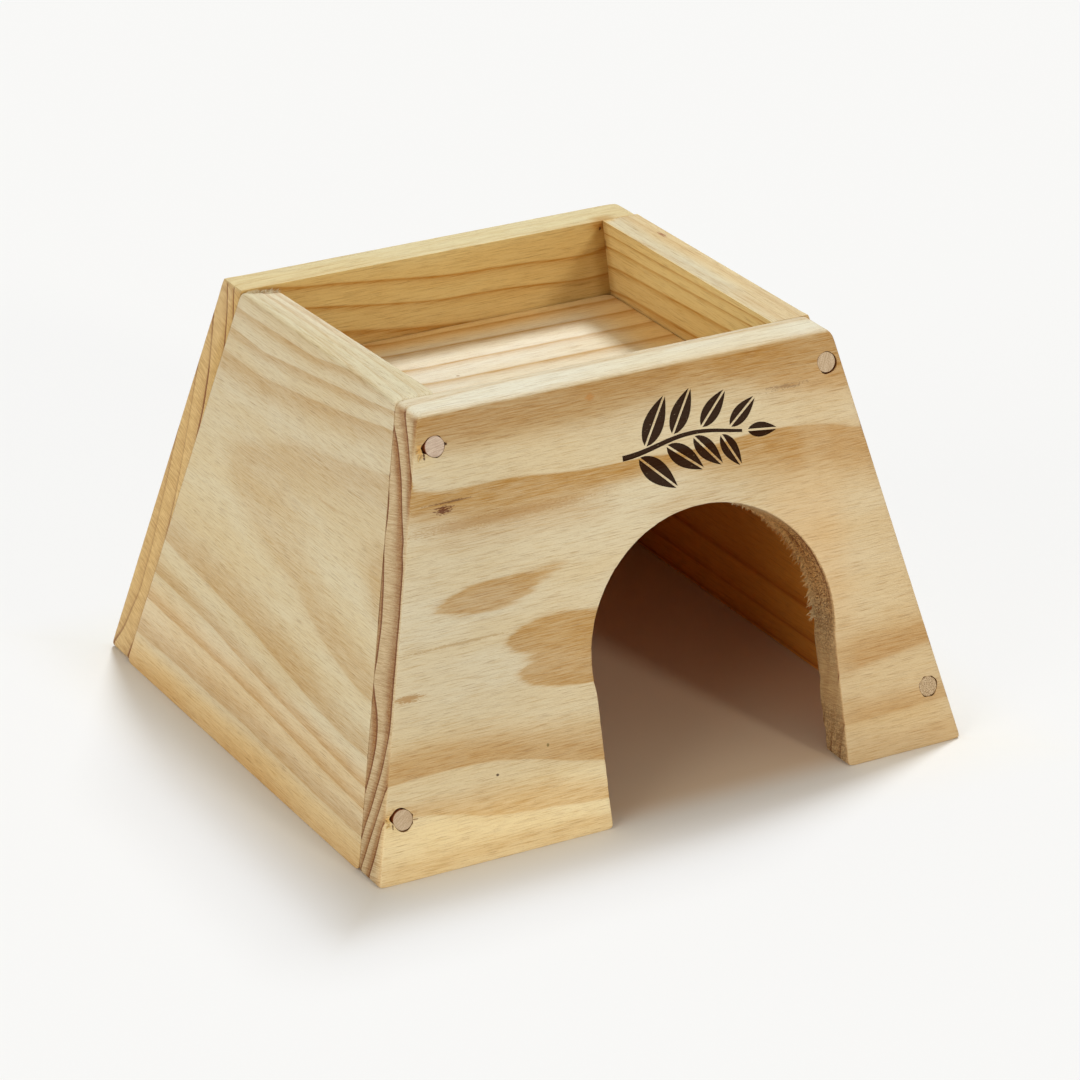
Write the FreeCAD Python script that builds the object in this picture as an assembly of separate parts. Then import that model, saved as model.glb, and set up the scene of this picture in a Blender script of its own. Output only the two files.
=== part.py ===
# Wooden hamster house: four pine boards leaning inward, a sunk tray floor that is also the roof,
# an arched doorway in the front board, and eight dowel pegs that pin the corners.
#
# Frame: millimetres. +X runs to the right along the front board, +Y from front to back, +Z up.
# The origin is the middle of the rectangle that the house stands on.
# A wall's own frame has its origin at the middle of its outer bottom edge, x to the right as seen
# from outside, y up the slope and z outward.
import FreeCAD, Part
import math
import os

# Overall size
base_width = 190.0
base_depth = 180.0
house_height = 123.5
wall_lean = 13.2

# Boards
board_thickness = 12.0
tray_floor_level = 97.0
tray_floor_gap = 0.3

# Doorway, measured in the front wall's own frame
doorway_middle = 17.6
doorway_width = 77.4
doorway_bore_radius = 39.3
doorway_bore_level = 45.8

# Rounding of the sanded edges
rim_rounding = 1.4
corner_rounding = 1.0
doorway_rounding = 0.7

# Pegs: how far along and up the wall each one sits
peg_radius = 3.0
peg_length = 30.0
peg_end_chamfer = 0.4
clearance_hole_radius = 3.2
blind_hole_radius = 3.05
lower_peg_level = 17.6
upper_peg_level = 117.6
front_peg_insets = {
    "upper_left": 6.6,
    "lower_left": 5.9,
    "upper_right": 5.0,
    "lower_right": 5.4,
}
back_peg_inset = 5.9

# Worked out from the sizes above
lean = math.radians(wall_lean)
slope = math.tan(lean)
level_thickness = board_thickness / math.cos(lean)
half_width = base_width / 2
half_depth = base_depth / 2

# Turn of each wall's frame about Z, from the front wall round to the right
wall_turns = {"front": 0.0, "right": 90.0, "back": 180.0, "left": -90.0}


def rectangle(x_range, y_range, level):
    """Corners of a level rectangle, anticlockwise from above."""
    return [
        FreeCAD.Vector(x_range[0], y_range[0], level),
        FreeCAD.Vector(x_range[1], y_range[0], level),
        FreeCAD.Vector(x_range[1], y_range[1], level),
        FreeCAD.Vector(x_range[0], y_range[1], level),
    ]


def flat_face(corners):
    return Part.Face(Part.makePolygon(corners + corners[:1]))


def leaning_block(x_range_at, y_range_at, bottom, top):
    """Flat-faced solid whose level sections are rectangles that change evenly with height."""
    low = rectangle(x_range_at(bottom), y_range_at(bottom), bottom)
    high = rectangle(x_range_at(top), y_range_at(top), top)
    faces = [flat_face(low[::-1]), flat_face(high)]
    for here in range(4):
        after = (here + 1) % 4
        faces.append(flat_face([low[here], low[after], high[after], high[here]]))
    return Part.makeSolid(Part.makeShell(faces))


def inner_half(half_size, level):
    """Half the room between two opposite walls, measured level."""
    return half_size - level_thickness - level * slope


def outer_half(half_size, level):
    return half_size - level * slope


def front_or_back_block(side):
    """Board over the full width of the house; side is -1 for the front and 1 for the back."""
    def x_range(level):
        return (-outer_half(half_width, level), outer_half(half_width, level))

    def y_range(level):
        ends = (side * outer_half(half_depth, level), side * inner_half(half_depth, level))
        return (min(ends), max(ends))

    return leaning_block(x_range, y_range, 0, house_height)


def side_block(side):
    """Board between the front and back ones; side is -1 for the left and 1 for the right."""
    def x_range(level):
        ends = (side * outer_half(half_width, level), side * inner_half(half_width, level))
        return (min(ends), max(ends))

    def y_range(level):
        return (-inner_half(half_depth, level), inner_half(half_depth, level))

    return leaning_block(x_range, y_range, 0, house_height)


def wall_placement(wall):
    """Placement of a wall's own frame in the house."""
    distance = half_depth if wall in ("front", "back") else half_width
    turn = FreeCAD.Rotation(FreeCAD.Vector(0, 0, 1), wall_turns[wall])
    tilt = FreeCAD.Rotation(FreeCAD.Vector(1, 0, 0), 90 - wall_lean)
    foot = turn.multVec(FreeCAD.Vector(0, -distance, 0))
    return FreeCAD.Placement(foot, turn.multiply(tilt))


def in_wall(solid, wall):
    """Move a solid that was drawn in a wall's own frame into the house."""
    solid.Placement = wall_placement(wall).multiply(solid.Placement)
    return solid


def in_house(point, wall):
    return wall_placement(wall).multVec(FreeCAD.Vector(*point))


def edges_where(solid, test):
    """Edges whose end points and middle all pass the test."""
    chosen = []
    for edge in solid.Edges:
        first, last = edge.ParameterRange
        points = [edge.valueAt(first), edge.valueAt((first + last) / 2), edge.valueAt(last)]
        if all(test(point) for point in points):
            chosen.append(edge)
    return chosen


def on_outer_face(point, wall):
    local = wall_placement(wall).inverse().multVec(point)
    return abs(local.z) < 0.01


def at_rim(point):
    return abs(point.z - house_height) < 0.01


def ease_outer_edges(solid, wall):
    """Sand the rim and the two end corners of a wall's outer face."""
    rim = edges_where(solid, lambda p: on_outer_face(p, wall) and at_rim(p))
    solid = solid.makeFillet(rim_rounding, rim)
    corners = []
    for edge in edges_where(solid, lambda p: on_outer_face(p, wall)):
        start, end = [vertex.Point for vertex in edge.Vertexes]
        if abs(start.z - end.z) > house_height / 2:
            corners.append(edge)
    return solid.makeFillet(corner_rounding, corners)


def doorway_cutter():
    """Straight slot up from the foot with a round bore on top, square to the front wall."""
    reach = 3 * board_thickness
    below = 10.0
    slot_corner = FreeCAD.Vector(doorway_middle - doorway_width / 2, -below, -reach)
    slot = Part.makeBox(doorway_width, doorway_bore_level + below, 2 * reach, slot_corner)
    bore_start = FreeCAD.Vector(doorway_middle, doorway_bore_level, -reach)
    bore = Part.makeCylinder(doorway_bore_radius, 2 * reach, bore_start, FreeCAD.Vector(0, 0, 1))
    return in_wall(slot.fuse(bore).removeSplitter(), "front")


def ease_doorway(solid):
    """Round the front edge of the doorway, up one jamb, round the arch and down the other."""
    def on_doorway_edge(point):
        local = wall_placement("front").inverse().multVec(point)
        near_middle = abs(local.x - doorway_middle) < doorway_bore_radius + 0.1
        return abs(local.z) < 0.01 and near_middle and not at_rim(point)

    return solid.makeFillet(doorway_rounding, edges_where(solid, on_doorway_edge))


def peg_spot(wall, corner):
    """Where a peg's axis meets the outer face, in the wall's own frame."""
    level = upper_peg_level if corner.startswith("upper") else lower_peg_level
    inset = front_peg_insets[corner] if wall == "front" else back_peg_inset
    across = outer_half(half_width, level * math.cos(lean)) - inset
    # Left and right are those of the house seen from the front.
    to_the_left = corner.endswith("left")
    if to_the_left == (wall == "front"):
        across = -across
    return across, level


def peg_cylinder(wall, corner, radius, start_depth, end_depth):
    """Cylinder on a peg's axis between two depths under the outer face."""
    across, level = peg_spot(wall, corner)
    inner_end = FreeCAD.Vector(across, level, -end_depth)
    length = end_depth - start_depth
    return in_wall(Part.makeCylinder(radius, length, inner_end, FreeCAD.Vector(0, 0, 1)), wall)


def peg(wall, corner):
    """Dowel flush with the wall's face, with its hidden end chamfered for driving."""
    body = peg_cylinder(wall, corner, peg_radius, 0, peg_length)
    across, level = peg_spot(wall, corner)
    inner_end = in_house((across, level, -peg_length), wall)
    ring = edges_where(body, lambda p: abs(p.distanceToPoint(inner_end) - peg_radius) < 0.01)
    return body.makeChamfer(peg_end_chamfer, [edge for edge in ring if edge.Closed])


def bore_wall(solid, wall):
    """Drill the four clearance holes through a front or back wall."""
    holes = []
    for corner in front_peg_insets:
        overshoot = board_thickness
        end = board_thickness + overshoot
        holes.append(peg_cylinder(wall, corner, clearance_hole_radius, -overshoot, end))
    return solid.cut(holes)


def bore_side(solid, side_name):
    """Drill the blind holes into both ends of a side wall."""
    holes = []
    for wall in ("front", "back"):
        for corner in front_peg_insets:
            if corner.endswith(side_name):
                holes.append(peg_cylinder(wall, corner, blind_hole_radius, 0, peg_length))
    return solid.cut(holes)


def front_panel():
    solid = ease_outer_edges(front_or_back_block(-1), "front")
    solid = ease_doorway(solid.cut(doorway_cutter()))
    return bore_wall(solid, "front")


def back_panel():
    solid = ease_outer_edges(front_or_back_block(1), "back")
    return bore_wall(solid, "back")


def side_panel(side_name):
    side = -1 if side_name == "left" else 1
    solid = side_block(side)
    rim = edges_where(solid, lambda p: on_outer_face(p, side_name) and at_rim(p))
    solid = solid.makeFillet(corner_rounding, rim)
    return bore_side(solid, side_name)


def roof_panel():
    """Board let in between the walls; it sits tight at the front and left."""
    def x_range(level):
        room = inner_half(half_width, level)
        return (-room, room - tray_floor_gap)

    def y_range(level):
        room = inner_half(half_depth, level)
        return (-room, room - tray_floor_gap)

    return leaning_block(x_range, y_range, tray_floor_level - board_thickness, tray_floor_level)


def build_parts():
    parts = {
        "front_panel": front_panel(),
        "back_panel": back_panel(),
        "left_side_panel": side_panel("left"),
        "right_side_panel": side_panel("right"),
        "roof_panel": roof_panel(),
    }
    for wall in ("front", "back"):
        for corner in front_peg_insets:
            parts["peg_" + wall + "_" + corner] = peg(wall, corner)
    return parts


def report_sizes(parts):
    """Print each solid's state and the overall size, to read after a build."""
    whole = FreeCAD.BoundBox()
    for name, shape in parts.items():
        whole.add(shape.optimalBoundingBox())
        print(name, len(shape.Solids), "solid", shape.isValid(), round(shape.Volume, 1))
    print("overall", round(whole.XLength, 2), round(whole.YLength, 2), round(whole.ZLength, 2))


def main():
    os.makedirs("parts", exist_ok=True)
    parts = build_parts()
    for name, shape in parts.items():
        shape.Solids[0].exportStep("parts/" + name + ".step")
    report_sizes(parts)


main()
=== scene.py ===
# The wooden hamster house dressed for its picture: five pine boards, eight dowel pegs, a floor, soft
# studio light and the camera. A board is drawn in millimetres in its own frame, whose u runs to the
# right, v up and depth into the wood from its outer face, and goes into the scene in metres.
import math

import bmesh
import bpy
import numpy as np
from mathutils import Matrix, Vector, noise
from mathutils.geometry import delaunay_2d_cdt


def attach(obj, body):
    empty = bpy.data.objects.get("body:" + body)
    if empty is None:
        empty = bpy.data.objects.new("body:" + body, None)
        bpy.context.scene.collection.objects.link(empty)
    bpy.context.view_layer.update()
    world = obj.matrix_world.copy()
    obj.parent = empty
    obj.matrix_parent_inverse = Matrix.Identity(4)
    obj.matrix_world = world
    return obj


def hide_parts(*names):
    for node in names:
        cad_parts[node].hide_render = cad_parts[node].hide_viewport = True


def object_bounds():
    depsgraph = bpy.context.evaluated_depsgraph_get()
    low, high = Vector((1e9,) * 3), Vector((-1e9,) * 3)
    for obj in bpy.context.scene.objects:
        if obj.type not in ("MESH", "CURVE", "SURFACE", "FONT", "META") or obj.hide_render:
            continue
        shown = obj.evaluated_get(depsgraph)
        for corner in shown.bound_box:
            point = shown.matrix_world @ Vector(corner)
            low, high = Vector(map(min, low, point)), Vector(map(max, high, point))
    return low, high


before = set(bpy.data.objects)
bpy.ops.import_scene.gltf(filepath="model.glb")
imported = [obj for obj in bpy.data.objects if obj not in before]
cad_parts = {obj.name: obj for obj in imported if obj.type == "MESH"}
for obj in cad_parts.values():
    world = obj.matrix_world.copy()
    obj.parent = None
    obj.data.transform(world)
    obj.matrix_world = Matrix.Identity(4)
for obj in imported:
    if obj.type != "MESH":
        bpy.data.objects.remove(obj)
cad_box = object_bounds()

# Sizes of the house, the same as the CAD model's
millimetre = 0.001
base_width = (cad_box[1].x - cad_box[0].x) / millimetre
base_depth = (cad_box[1].y - cad_box[0].y) / millimetre
house_height = (cad_box[1].z - cad_box[0].z) / millimetre
lean = math.radians(13.2)
board_thickness = 12.0
tray_floor_level = 97.0
tray_floor_gap = 0.3
doorway_middle = 17.6
doorway_half_width = 38.7
doorway_bore_radius = 39.3
doorway_bore_level = 45.8
peg_radius = 3.0
peg_length = 30.0
hole_radius = 3.2
blind_hole_radius = 3.05
upper_peg_level = 117.6
lower_peg_level = 17.6
back_peg_inset = 5.9

# Worked out from the sizes above
slope = math.tan(lean)
level_thickness = board_thickness / math.cos(lean)
slope_length = house_height / math.cos(lean)
narrowing = math.sin(lean)
wall_turns = {"front": 0, "right": 90, "back": 180, "left": -90}

# How finely the boards are meshed
outline_step = 1.2
face_step = 1.7
hidden_face_step = 3.0
hole_points = 48
reveal_rows = 12
# As shares of a step: between rows of points, and from points to a long and a short outline
row_spacing = 0.87
outline_clearance = 0.55
hole_clearance = 0.35


def turns(count):
    """Angles spread evenly round a circle."""
    return np.linspace(0, 2 * math.pi, count, endpoint=False)


def ring_at(angles):
    """Points on a circle of radius 1."""
    return np.column_stack([np.cos(angles), np.sin(angles)])


def straight_polygon(corners, counts):
    """Points spread evenly along the sides of a closed polygon."""
    ends = np.roll(corners, -1, axis=0)
    pieces = []
    for start, end, count in zip(corners, ends, counts):
        share = np.linspace(0, 1, count, endpoint=False)[:, None]
        pieces.append(start + share * (end - start))
    return np.concatenate(pieces)


def side_counts(corners, step):
    lengths = np.linalg.norm(np.roll(corners, -1, axis=0) - corners, axis=1)
    return np.maximum(1, np.round(lengths / step)).astype(int)


def inward_steps(loop):
    """For each point of an anticlockwise loop, the step that moves both its sides in by one."""
    along = np.roll(loop, -1, axis=0) - loop
    along /= np.linalg.norm(along, axis=1)[:, None]
    after = np.stack([-along[:, 1], along[:, 0]], axis=1)
    before = np.roll(after, 1, axis=0)
    together = 1 + (after * before).sum(axis=1)
    return (after + before) / together[:, None]


def smooth_round(values, passes):
    """Average each value with its neighbours round a closed loop."""
    for _ in range(passes):
        values = (np.roll(values, 1, axis=0) + 2 * values + np.roll(values, -1, axis=0)) / 4
    return values


def inside(points, loop):
    """Which points lie inside a closed loop."""
    x, y = points[:, 0][:, None], points[:, 1][:, None]
    start, end = loop, np.roll(loop, -1, axis=0)
    rise = np.where(end[:, 1] == start[:, 1], 1e-9, end[:, 1] - start[:, 1])
    crosses = (start[:, 1] > y) != (end[:, 1] > y)
    crossing = start[:, 0] + (y - start[:, 1]) / rise * (end[:, 0] - start[:, 0])
    return (crosses & (x < crossing)).sum(axis=1) % 2 == 1


def in_chunks(work, points, size):
    """The results of work on points that are taken a few at a time, to save memory."""
    return np.concatenate([work(points[begin:begin + size]) for begin in range(0, len(points), size)])


def at_depth(points, depth):
    return np.column_stack([points, np.full(len(points), float(depth))])


def waves(points, period, seed):
    """Smooth noise from -1 to 1 at each point; period is its size along each axis."""
    spread = points / np.array(period) + 17.3 * seed
    return np.array([noise.noise(Vector(point)) for point in spread])


class Shell:
    """The points of a board in its own frame, as (u, v, depth), and the faces between them."""

    def __init__(self):
        self.rows = []
        self.end_shares = []
        self.faces = []
        self.count = 0

    def add(self, points, end_share=0.0):
        self.rows.append(np.asarray(points, float))
        self.end_shares.append(np.broadcast_to(end_share, len(points)))
        self.count += len(points)
        return np.arange(self.count - len(points), self.count)

    def points(self):
        return np.concatenate(self.rows)

    def splinter(self, root, tip, width, end_share=0.6):
        """A thin pointed fibre with three sides, which bends to one side between its root and its tip."""
        along = (tip - root) / np.linalg.norm(tip - root)
        side = np.cross(along, (0.3, 0.5, 0.8))
        side *= width / 2 / np.linalg.norm(side)
        other = np.cross(along, side) * math.sqrt(0.75)
        corners = np.array([root + side, root - side / 2 + other, root - side / 2 - other])
        ring = self.add(corners, end_share)
        waist = self.add((corners + root + 0.9 * (tip - root)) / 2 + 0.4 * side, end_share)
        self.strip(ring, waist)
        self.faces.append(tuple(ring[::-1]))
        self.fan(waist, self.add([tip], end_share)[0])

    def strip(self, *rows):
        """Faces between closed rows with the same number of points, from each row to the next."""
        for first, second in zip(rows, rows[1:]):
            for here in range(len(first)):
                after = (here + 1) % len(first)
                self.faces.append((first[here], first[after], second[after], second[here]))

    def fan(self, row, point):
        """Faces from a closed row to one point."""
        self.faces += [(row[here], row[(here + 1) % len(row)], point) for here in range(len(row))]

    def fill(self, loops, numbers, depth, step, engraved=()):
        """A flat face bounded by the first loop, with the other loops as holes in it."""
        inner = grid_points(loops, engraved, step)
        parts = [*loops, inner, *engraved]
        ids = np.concatenate([*numbers] + [self.add(at_depth(part, depth)) for part in (inner, *engraved)])
        flat = np.concatenate(parts)
        edges = []
        start = 0
        for part in parts:
            if part is not inner:
                edges += [(start + here, start + (here + 1) % len(part)) for here in range(len(part))]
            start += len(part)
        result = delaunay_2d_cdt([Vector(point) for point in flat], edges, [], 0, 1e-6, True)
        corners = np.array(result[2])
        origin = np.array([found[0] for found in result[3]])
        places = np.array([tuple(point) for point in result[0]])
        middles = places[corners].mean(axis=1)
        keep = inside(middles, loops[0])
        for loop in loops[1:]:
            keep &= ~inside(middles, loop)
        sunk = np.zeros(len(corners), bool)
        for loop in engraved:
            sunk |= inside(middles, loop)
        level = ids[origin[corners]]
        self.faces += [tuple(face) for face in level[keep & ~sunk]]
        if len(engraved):
            self.sink(level[keep & sunk], depth + engraving_depth)

    def sink(self, faces, depth):
        """Lower these faces to a depth, with walls round them."""
        points = self.points()
        used = np.unique(faces)
        lowered = points[used]
        lowered[:, 2] = depth
        below = dict(zip(used, self.add(lowered)))
        self.faces += [tuple(below[corner] for corner in face) for face in faces]
        sides = {}
        for face in faces:
            for here in range(3):
                side = (face[here], face[(here + 1) % 3])
                if side[::-1] in sides:
                    del sides[side[::-1]]
                else:
                    sides[side] = True
        self.faces += [(a, b, below[b], below[a]) for a, b in sides]


def grid_points(loops, engraved, step):
    """Staggered points inside the first loop that keep clear of every loop."""
    low, high = loops[0].min(axis=0), loops[0].max(axis=0)
    rows = []
    for index, height in enumerate(np.arange(low[1] + step / 2, high[1], step * row_spacing)):
        across = np.arange(low[0] + step * (0.25 + 0.5 * (index % 2)), high[0], step)
        rows.append(np.column_stack([across, np.full(len(across), height)]))
    points = np.concatenate(rows)
    points = points[inside(points, loops[0])]
    for loop in [*loops, *engraved]:
        clear = step * (outline_clearance if len(loop) > 200 else hole_clearance)
        gaps = in_chunks(lambda part: np.linalg.norm(part[:, None] - loop, axis=2).min(axis=1), points, 2000)
        points = points[gaps > clear]
    for loop in loops[1:]:
        points = points[~inside(points, loop)]
    return points


# Depths down a peg hole, and the share of its torn mouth's shape that it keeps there
hole_profile = [
    (0.0, 1.0), (0.2, 0.98), (0.6, 0.88), (1.2, 0.62), (2.0, 0.25), (3.0, 0.0), (7.5, 0.0),
    (board_thickness, 0.0),
]
arris_angles = [math.radians(angle) for angle in (0, 24, 46, 68)]


def edge_rows(rounding, back_rounding):
    """The rows of points round a board's edge, as depth, inset and how far they face sideways."""
    rows = []
    for angle in arris_angles:
        rows.append((rounding * (1 - math.cos(angle)), rounding * (1 - math.sin(angle)), math.sin(angle)))
    for share in np.linspace(0, 1, reveal_rows):
        rows.append((rounding + share * (board_thickness - rounding - back_rounding), 0.0, 1.0))
    for angle in arris_angles[::-1]:
        depth = board_thickness - back_rounding * (1 - math.cos(angle))
        rows.append((depth, back_rounding * (1 - math.sin(angle)), math.sin(angle)))
    return rows


def bore(shell, centre, radius_at):
    """The wall of a peg hole with a torn mouth; gives its loops and their numbers."""
    angles = turns(hole_points)
    torn = radius_at(angles) - hole_radius
    loops, numbers = [], []
    for depth, share in hole_profile:
        loops.append(centre + ring_at(angles) * (hole_radius + share * torn)[:, None])
        numbers.append(shell.add(at_depth(loops[-1], depth), 0.5))
    shell.strip(*numbers)
    return loops, numbers


def build_shell(outline, finish, holes=(), engraved=(), back_step=hidden_face_step):
    """Close a board between its outer and inner faces.

    outline gives the corners at a depth. finish gives each point of the outline its way inward, its
    rounding at the outer and inner face, how rough it is and how far a corner there is eased.
    """
    counts = side_counts(outline(0.0), outline_step)
    front = straight_polygon(outline(0.0), counts)
    back = straight_polygon(outline(board_thickness), counts)
    rate, rounding, back_rounding, rough, soften = finish(front, counts, (back - front) / board_thickness)
    for _ in range(8):
        middle = (np.roll(front, 1, axis=0) + np.roll(front, -1, axis=0)) / 2
        front = front + (middle - front) * soften[:, None]
    step_in = inward_steps(front)
    across = np.abs(step_in[:, 0]) / np.linalg.norm(step_in, axis=1)

    shell = Shell()
    numbers = []
    for depth, inset, sideways in edge_rows(rounding, back_rounding):
        place = front + depth[:, None] * rate
        spots = np.column_stack([place, depth])
        unevenness = waves(spots, (1.6, 1.6, 3.0), 1) + 0.6 * waves(spots, (0.7, 0.7, 1.4), 2) + 1
        shift = inset + rough * unevenness
        place = place + shift[:, None] * step_in
        numbers.append(shell.add(np.column_stack([place, depth]), across * sideways))
    shell.strip(*numbers)

    outer_loops, inner_loops = [shell.rows[0][:, :2]], [shell.rows[-1][:, :2]]
    outer_ids, inner_ids = [numbers[0]], [numbers[-1]]
    for centre, radius_at in holes:
        loops, numbers = bore(shell, centre, radius_at)
        outer_loops.append(loops[0])
        outer_ids.append(numbers[0])
        inner_loops.append(loops[-1])
        inner_ids.append(numbers[-1])
    shell.fill(outer_loops, outer_ids, 0, face_step, engraved)
    shell.fill(inner_loops, inner_ids, board_thickness, back_step)
    return shell


# The frames of the boards

def wall_frame(wall):
    """Matrix from a wall's own millimetres, with z outward, to the scene."""
    distance = base_depth / 2 if wall in ("front", "back") else base_width / 2
    turn = Matrix.Rotation(math.radians(wall_turns[wall]), 4, "Z")
    foot = Matrix.Translation((0, -distance, 0))
    tilt = Matrix.Rotation(math.pi / 2 - lean, 4, "X")
    return Matrix.Scale(millimetre, 4) @ turn @ foot @ tilt


def floor_frame():
    return Matrix.Scale(millimetre, 4) @ Matrix.Translation((0, 0, tray_floor_level))


# The outlines of the boards, as corners at a depth, anticlockwise from the lower left

def room_half(size, level):
    """Half the room between two opposite walls at a level."""
    return size / 2 - level_thickness - level * slope


def wall_half(half_size, v, depth):
    """Half the length of a front or back wall at a place on it."""
    return half_size - narrowing * (v - slope * depth)


def wall_outline(half_size):
    """A plain wall board; half_size is half its length along the foot."""
    def corners(depth):
        low, high = slope * depth, slope_length + slope * depth
        at_low, at_high = wall_half(half_size, low, depth), wall_half(half_size, high, depth)
        return np.array([(-at_low, low), (at_low, low), (at_high, high), (-at_high, high)])
    return corners


def front_outline(depth):
    """The front wall's board with the doorway cut into its foot."""
    plain = wall_outline(base_width / 2)(depth)
    low = slope * depth
    opening = math.asin(math.sqrt(1 - (doorway_half_width / doorway_bore_radius) ** 2))
    count = int(doorway_bore_radius * (math.pi + 2 * opening) / outline_step)
    points = [plain[0], (doorway_middle - doorway_half_width, low)]
    for angle in np.linspace(math.pi + opening, -opening, count):
        points.append((doorway_middle + doorway_bore_radius * math.cos(angle),
                       doorway_bore_level + doorway_bore_radius * math.sin(angle)))
    points.append((doorway_middle + doorway_half_width, low))
    return np.array(points + list(plain[1:]))


def tray_floor_outline(depth):
    across, along = [room_half(size, tray_floor_level - depth) for size in (base_width, base_depth)]
    right, back = across - tray_floor_gap, along - tray_floor_gap
    return np.array([(-across, -along), (right, -along), (right, back), (-across, back)])


# How the edges of each board are worked

def near(points, spot, reach):
    """1 at a spot, falling smoothly to 0 at a distance."""
    away = np.linalg.norm(points - np.array(spot), axis=1) / reach
    return np.clip(1 - away, 0, 1) ** 2 * (1 + 2 * np.clip(away, 0, 1))


def plain_finish(rim, ends, foot=0.3, inner=0.3, corners=0.25, roughness=0.03):
    """Rounding of a plain board's outer edges, its inner edges and its corners."""
    def finish(front, counts, rate):
        rounding = smooth_round(np.repeat([foot, ends, rim, ends], counts), 6)
        back_rounding, rough, soften = [np.full(len(front), value) for value in (inner, roughness, corners)]
        return rate, rounding, back_rounding, rough, soften
    return finish


# The top corners of the front and back walls' outer faces
left_top, right_top = (-66, slope_length), (66, slope_length)


def front_finish(front, counts, rate):
    """The front wall, with the doorway's edge rounded outside and torn inside on the right."""
    on_end = np.abs(front[:, 0]) > wall_half(base_width / 2, front[:, 1], 0) - 0.01
    on_rim = front[:, 1] > slope_length - 0.01
    on_door = np.abs(front[:, 0] - doorway_middle) < doorway_bore_radius + 0.1
    on_door &= (front[:, 1] > 0.01) & ~on_rim
    at_rim = 1.1 + 0.6 * np.clip(front[:, 0] / 60, 0, 1)
    edge = np.where(on_rim, at_rim, np.where(on_door, 0.6, np.where(on_end, 0.9, 0.3)))
    rounding = smooth_round(edge, 4)
    spots = at_depth(front, 0)
    ragged = np.clip(0.3 + waves(spots, (2.2, 2.2, 1), 3) + 0.8 * waves(spots, (0.9, 0.9, 1), 4), 0, 1.2)
    right_side = np.clip((front[:, 0] - 25) / 12, 0, 1) * on_door
    back_rounding = smooth_round(0.35 + right_side * 1.5 * ragged, 1)
    rough = smooth_round(np.where(on_door, 0.10, 0.03), 3)
    soften = 0.12 + 0.15 * near(front, left_top, 4) + 0.3 * near(front, right_top, 4)
    return rate, rounding, back_rounding, rough, np.where(on_door, 0.05, soften)


def back_finish(front, counts, rate):
    """The back wall's top right corner, as the front shows it, is sanded round and the left one isn't."""
    rate, rounding, back_rounding, rough, soften = plain_finish(1.1, 0.7, inner=0.05)(front, counts, rate)
    sharp_corner = near(front, right_top, 8)
    rounding = rounding + 0.5 * near(front, left_top, 6) - 0.4 * sharp_corner
    return rate, rounding, back_rounding, rough, soften - 0.22 * sharp_corner


# How far the left wall's top edge is turned from level at its back end, as a share of the lean
left_twist = 0.8


def left_finish(front, counts, rate):
    """The left wall's top edge is level at its front end and square to the board at its back end."""
    rate, rounding, back_rounding, rough, soften = plain_finish(1.0, 0.15)(front, counts, rate)
    height_share = np.clip((front[:, 1] - 95) / (slope_length - 95), 0, 1)
    twist = left_twist * height_share * np.clip((42 - front[:, 0]) / 90, 0, 1)
    rate = rate.copy()
    rate[:, 0] -= narrowing * slope * np.where(front[:, 0] < -45, twist, 0)
    rate[:, 1] -= slope * twist
    return rate, rounding, back_rounding, rough, soften


# Growth rings

class Growth:
    """How many years the tree had grown when it made each point of a board.

    A year ends at a whole number, with a sharp edge after its dark late wood. The rings are round the
    tree's middle, which is at a height and a depth from the board, and are drawn through marks.
    """

    reach = np.array([34.0, 11.0, 8.0])
    mark_spacing = np.array([8.0, 4.0, 2.5])
    slack = 0.02

    def __init__(self, middle, ring, first, marks):
        self.middle = middle
        self.ring = ring
        self.first = first
        spots, values = [], []
        for value, line in marks:
            line = np.array(line, float)
            for start, end in zip(line[:-1], line[1:]):
                parts = max(1, int(np.linalg.norm((end - start) / self.mark_spacing)))
                share = np.linspace(0, 1, parts, endpoint=False)[:, None]
                spots.append(start + share * (end - start))
                values += [value] * parts
            spots.append(line[-1:])
            values.append(value)
        self.spots = np.concatenate(spots) / self.reach
        wanted = np.array(values) - self.round_rings(self.spots * self.reach)
        kernel = self.kernel(self.spots)
        self.weights = np.linalg.solve(kernel + self.slack * np.eye(len(kernel)), wanted)

    def kernel(self, points):
        away = np.linalg.norm(points[:, None] - self.spots[None], axis=2) * math.sqrt(3)
        return (1 + away) * np.exp(-away)

    def round_rings(self, points):
        height, depth = self.middle
        radius = np.hypot(points[:, 1] - height, depth - points[:, 2])
        return self.first + (radius - abs(depth)) / self.ring

    def at(self, points):
        drawn = in_chunks(lambda part: self.kernel(part / self.reach) @ self.weights, points, 4000)
        return self.round_rings(points) + drawn


def on_face(line, depth=0.0):
    """Marks on a face, given as (u, v)."""
    return [(u, v, depth) for u, v in line]


def on_left_end(line):
    """Marks on the left end of a front or back board, given as (v, depth)."""
    return [(-wall_half(base_width / 2, v, depth), v, depth) for v, depth in line]


def on_right_end(line):
    return [(-u, v, depth) for u, v, depth in on_left_end(line)]


def placed(place, table, *depth):
    """Marks from a table of years and lines, with each line's points placed in the board's frame."""
    return [(year, place(line, *depth)) for year, line in table]


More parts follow.
